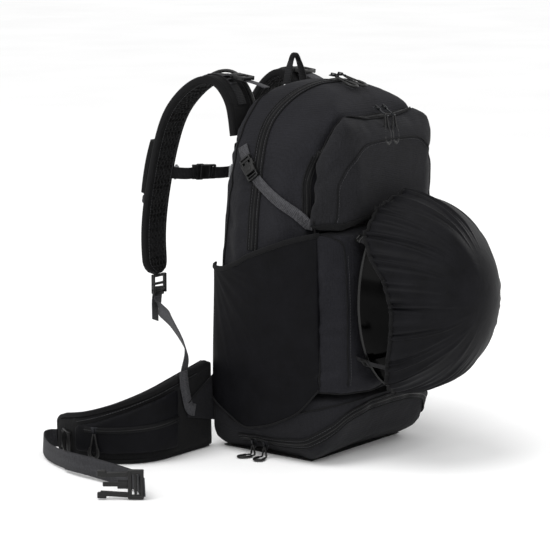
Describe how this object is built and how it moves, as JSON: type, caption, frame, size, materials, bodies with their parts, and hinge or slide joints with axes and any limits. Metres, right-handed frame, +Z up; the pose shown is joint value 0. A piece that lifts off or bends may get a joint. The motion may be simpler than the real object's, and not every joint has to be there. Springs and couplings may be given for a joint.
{
  "type": "avalanche airbag backpack",
  "caption": "Ski touring backpack with airbag system inside, hip belt with pockets, shoulder straps, zipped pockets and a helmet held in a stretch carrier.",
  "frame": {"origin": "middle of the base patch, on the surface that the pack stands on", "axes": "+Z up, -Y out of the outer face towards the helmet, +Y towards the wearer, +X to the wearer's right"},
  "size_m": [0.7609, 0.5458, 0.5449],
  "materials": {
    "shell_cloth": "plain woven nylon, dark grey",
    "base_cloth": "tough woven nylon, near black",
    "stretch_cloth": "smooth stretch fabric",
    "pad_mesh": "spacer mesh over foam",
    "webbing": "grey woven webbing",
    "trim": "moulded black acetal",
    "zip": "coated coil zip",
    "slider_metal": "polished zinc slider",
    "sheet_plastic": "polyethylene sheet",
    "stay_metal": "extruded stay",
    "airbag_cloth": "coated folded nylon",
    "cylinder_metal": "anodised pressure cylinder",
    "trigger_plastic": "moulded orange grip",
    "helmet_gloss": "glossy moulded shell",
    "helmet_foam": "expanded foam"
  },
  "bodies": {
    "pack": {"main_compartment": "shell_cloth", "base_compartment": "base_cloth", "base_patch": "base_cloth", "front_pocket": "shell_cloth", "stash_pocket": "base_cloth", "side_pocket_left": "stretch_cloth", "side_pocket_right": "stretch_cloth", "back_pads": "pad_mesh", "frame_sheet": "sheet_plastic", "frame_stays": "stay_metal", "airbag_folded": "airbag_cloth", "gas_cylinder": "cylinder_metal", "inflator_head": "trim", "cylinder_bracket": "trim", "trigger_cable_pack": "trim", "main_zip": "zip", "front_zip": "zip", "base_zip": "zip", "lower_wings": "base_cloth", "compression_webbing": "webbing", "compression_buckles": "trim", "lifter_webbing": "webbing", "lifter_locks": "trim"},
    "harness": {"strap_left": "pad_mesh", "strap_right": "pad_mesh", "strap_ladder_locks": "trim", "lower_webbing": "webbing", "trigger_garage": "base_cloth", "trigger_cable_strap": "trim"},
    "sternum_strap": {"sternum_webbing": "webbing", "sternum_buckle": "trim"},
    "trigger": {"trigger_handle": "trigger_plastic"},
    "grab_loop": {"haul_loop": "trim"},
    "left_fin": {"fin_left": "pad_mesh", "fin_pocket_left": "base_cloth", "fin_lock_left": "trim", "belt_webbing_left": "webbing"},
    "right_fin": {"fin_right": "pad_mesh", "fin_pocket_right": "base_cloth", "fin_lock_right": "trim", "belt_webbing_right": "webbing"},
    "left_buckle": {"buckle_male": "trim"},
    "right_buckle": {"buckle_female": "trim"},
    "helmet_carrier": {"helmet_cover": "stretch_cloth", "cover_hooks": "trim", "helmet_shell": "helmet_gloss", "helmet_liner": "helmet_foam"},
    "main_slider_left_body": {"main_slider_left": "slider_metal"},
    "main_slider_right_body": {"main_slider_right": "slider_metal"},
    "main_pull_left_body": {"main_pull_left": "trim"},
    "main_pull_right_body": {"main_pull_right": "trim"},
    "front_slider_left_body": {"front_slider_left": "slider_metal"},
    "front_slider_right_body": {"front_slider_right": "slider_metal"},
    "front_pull_left_body": {"front_pull_left": "trim"},
    "front_pull_right_body": {"front_pull_right": "trim"},
    "base_slider_left_body": {"base_slider_left": "slider_metal"},
    "base_slider_right_body": {"base_slider_right": "slider_metal"},
    "fin_slider_left_body": {"fin_slider_left": "slider_metal"},
    "fin_slider_right_body": {"fin_slider_right": "slider_metal"}
  },
  "joints": [
    {"name": "harness_swing", "type": "hinge", "parent": "pack", "child": "harness", "pos_m": [0, 0.092, 0.5145], "axis": [1, 0, 0], "range_deg": [0, 12]},
    {"name": "left_fin_fold", "type": "hinge", "parent": "pack", "child": "left_fin", "pos_m": [-0.112, 0.1013, 0.06], "axis": [0, 0, 1], "range_deg": [-55, 0]},
    {"name": "right_fin_fold", "type": "hinge", "parent": "pack", "child": "right_fin", "pos_m": [0.112, 0.1013, 0.06], "axis": [0, 0, 1], "range_deg": [0, 55]},
    {"name": "haul_loop_fold", "type": "hinge", "parent": "pack", "child": "grab_loop", "pos_m": [0, 0.037, 0.50885], "axis": [1, 0, 0], "range_deg": [-75, 60]},
    {"name": "main_zip_left_travel", "type": "slide", "parent": "pack", "child": "main_slider_left_body", "axis": [-0.9981, 0, -0.0618], "range_m": [0, 0.02]},
    {"name": "main_zip_right_travel", "type": "slide", "parent": "pack", "child": "main_slider_right_body", "axis": [0.9981, 0, -0.0618], "range_m": [0, 0.02]},
    {"name": "main_pull_left_swing", "type": "hinge", "parent": "main_slider_left_body", "child": "main_pull_left_body", "pos_m": [-0.01, -0.0423, 0.517], "axis": [-1, 0, 0], "range_deg": [0, 80]},
    {"name": "main_pull_right_swing", "type": "hinge", "parent": "main_slider_right_body", "child": "main_pull_right_body", "pos_m": [0.01, -0.0423, 0.517], "axis": [-1, 0, 0], "range_deg": [0, 80]},
    {"name": "front_zip_left_travel", "type": "slide", "parent": "pack", "child": "front_slider_left_body", "axis": [-1, 0, 0], "range_m": [0, 0.06]},
    {"name": "front_zip_right_travel", "type": "slide", "parent": "pack", "child": "front_slider_right_body", "axis": [1, 0, 0], "range_m": [0, 0.06]},
    {"name": "front_pull_left_swing", "type": "hinge", "parent": "front_slider_left_body", "child": "front_pull_left_body", "pos_m": [-0.009, -0.12411, 0.47038], "axis": [-1, 0, 0], "range_deg": [0, 95]},
    {"name": "front_pull_right_swing", "type": "hinge", "parent": "front_slider_right_body", "child": "front_pull_right_body", "pos_m": [0.009, -0.12411, 0.47038], "axis": [-1, 0, 0], "range_deg": [0, 95]},
    {"name": "base_zip_rear_travel", "type": "slide", "parent": "pack", "child": "base_slider_left_body", "axis": [0, 1, 0], "range_m": [0, 0.018]},
    {"name": "base_zip_front_travel", "type": "slide", "parent": "pack", "child": "base_slider_right_body", "axis": [0, -1, 0], "range_m": [0, 0.04]},
    {"name": "left_fin_zip_travel", "type": "hinge", "parent": "left_fin", "child": "fin_slider_left_body", "pos_m": [-0.211, 0.1753, 0.048], "axis": [0, 0, 1], "range_deg": [0, 50]},
    {"name": "right_fin_zip_travel", "type": "hinge", "parent": "right_fin", "child": "fin_slider_right_body", "pos_m": [0.211, 0.1753, 0.048], "axis": [0, 0, 1], "range_deg": [-50, 0]},
    {"name": "left_buckle_swing", "type": "hinge", "parent": "left_fin", "child": "left_buckle", "pos_m": [-0.3872, -0.0163, 0.02], "axis": [0, 0, 1], "range_deg": [0, 50]},
    {"name": "right_buckle_swing", "type": "hinge", "parent": "right_fin", "child": "right_buckle", "pos_m": [0.326, 0.16, 0.02], "axis": [0, 0, 1], "range_deg": [-12, 12]},
    {"name": "trigger_pull", "type": "slide", "parent": "harness", "child": "trigger", "axis": [0, 0.2364, -0.9717], "range_m": [0, 0.04]},
    {"name": "sternum_strap_height", "type": "slide", "parent": "harness", "child": "sternum_strap", "axis": [0, 0.1885, -0.9821], "range_m": [-0.02, 0.02]},
    {"name": "helmet_carrier_release", "type": "slide", "parent": "pack", "child": "helmet_carrier", "axis": [0, -1, 0], "range_m": [0, 0.06]}
  ]
}
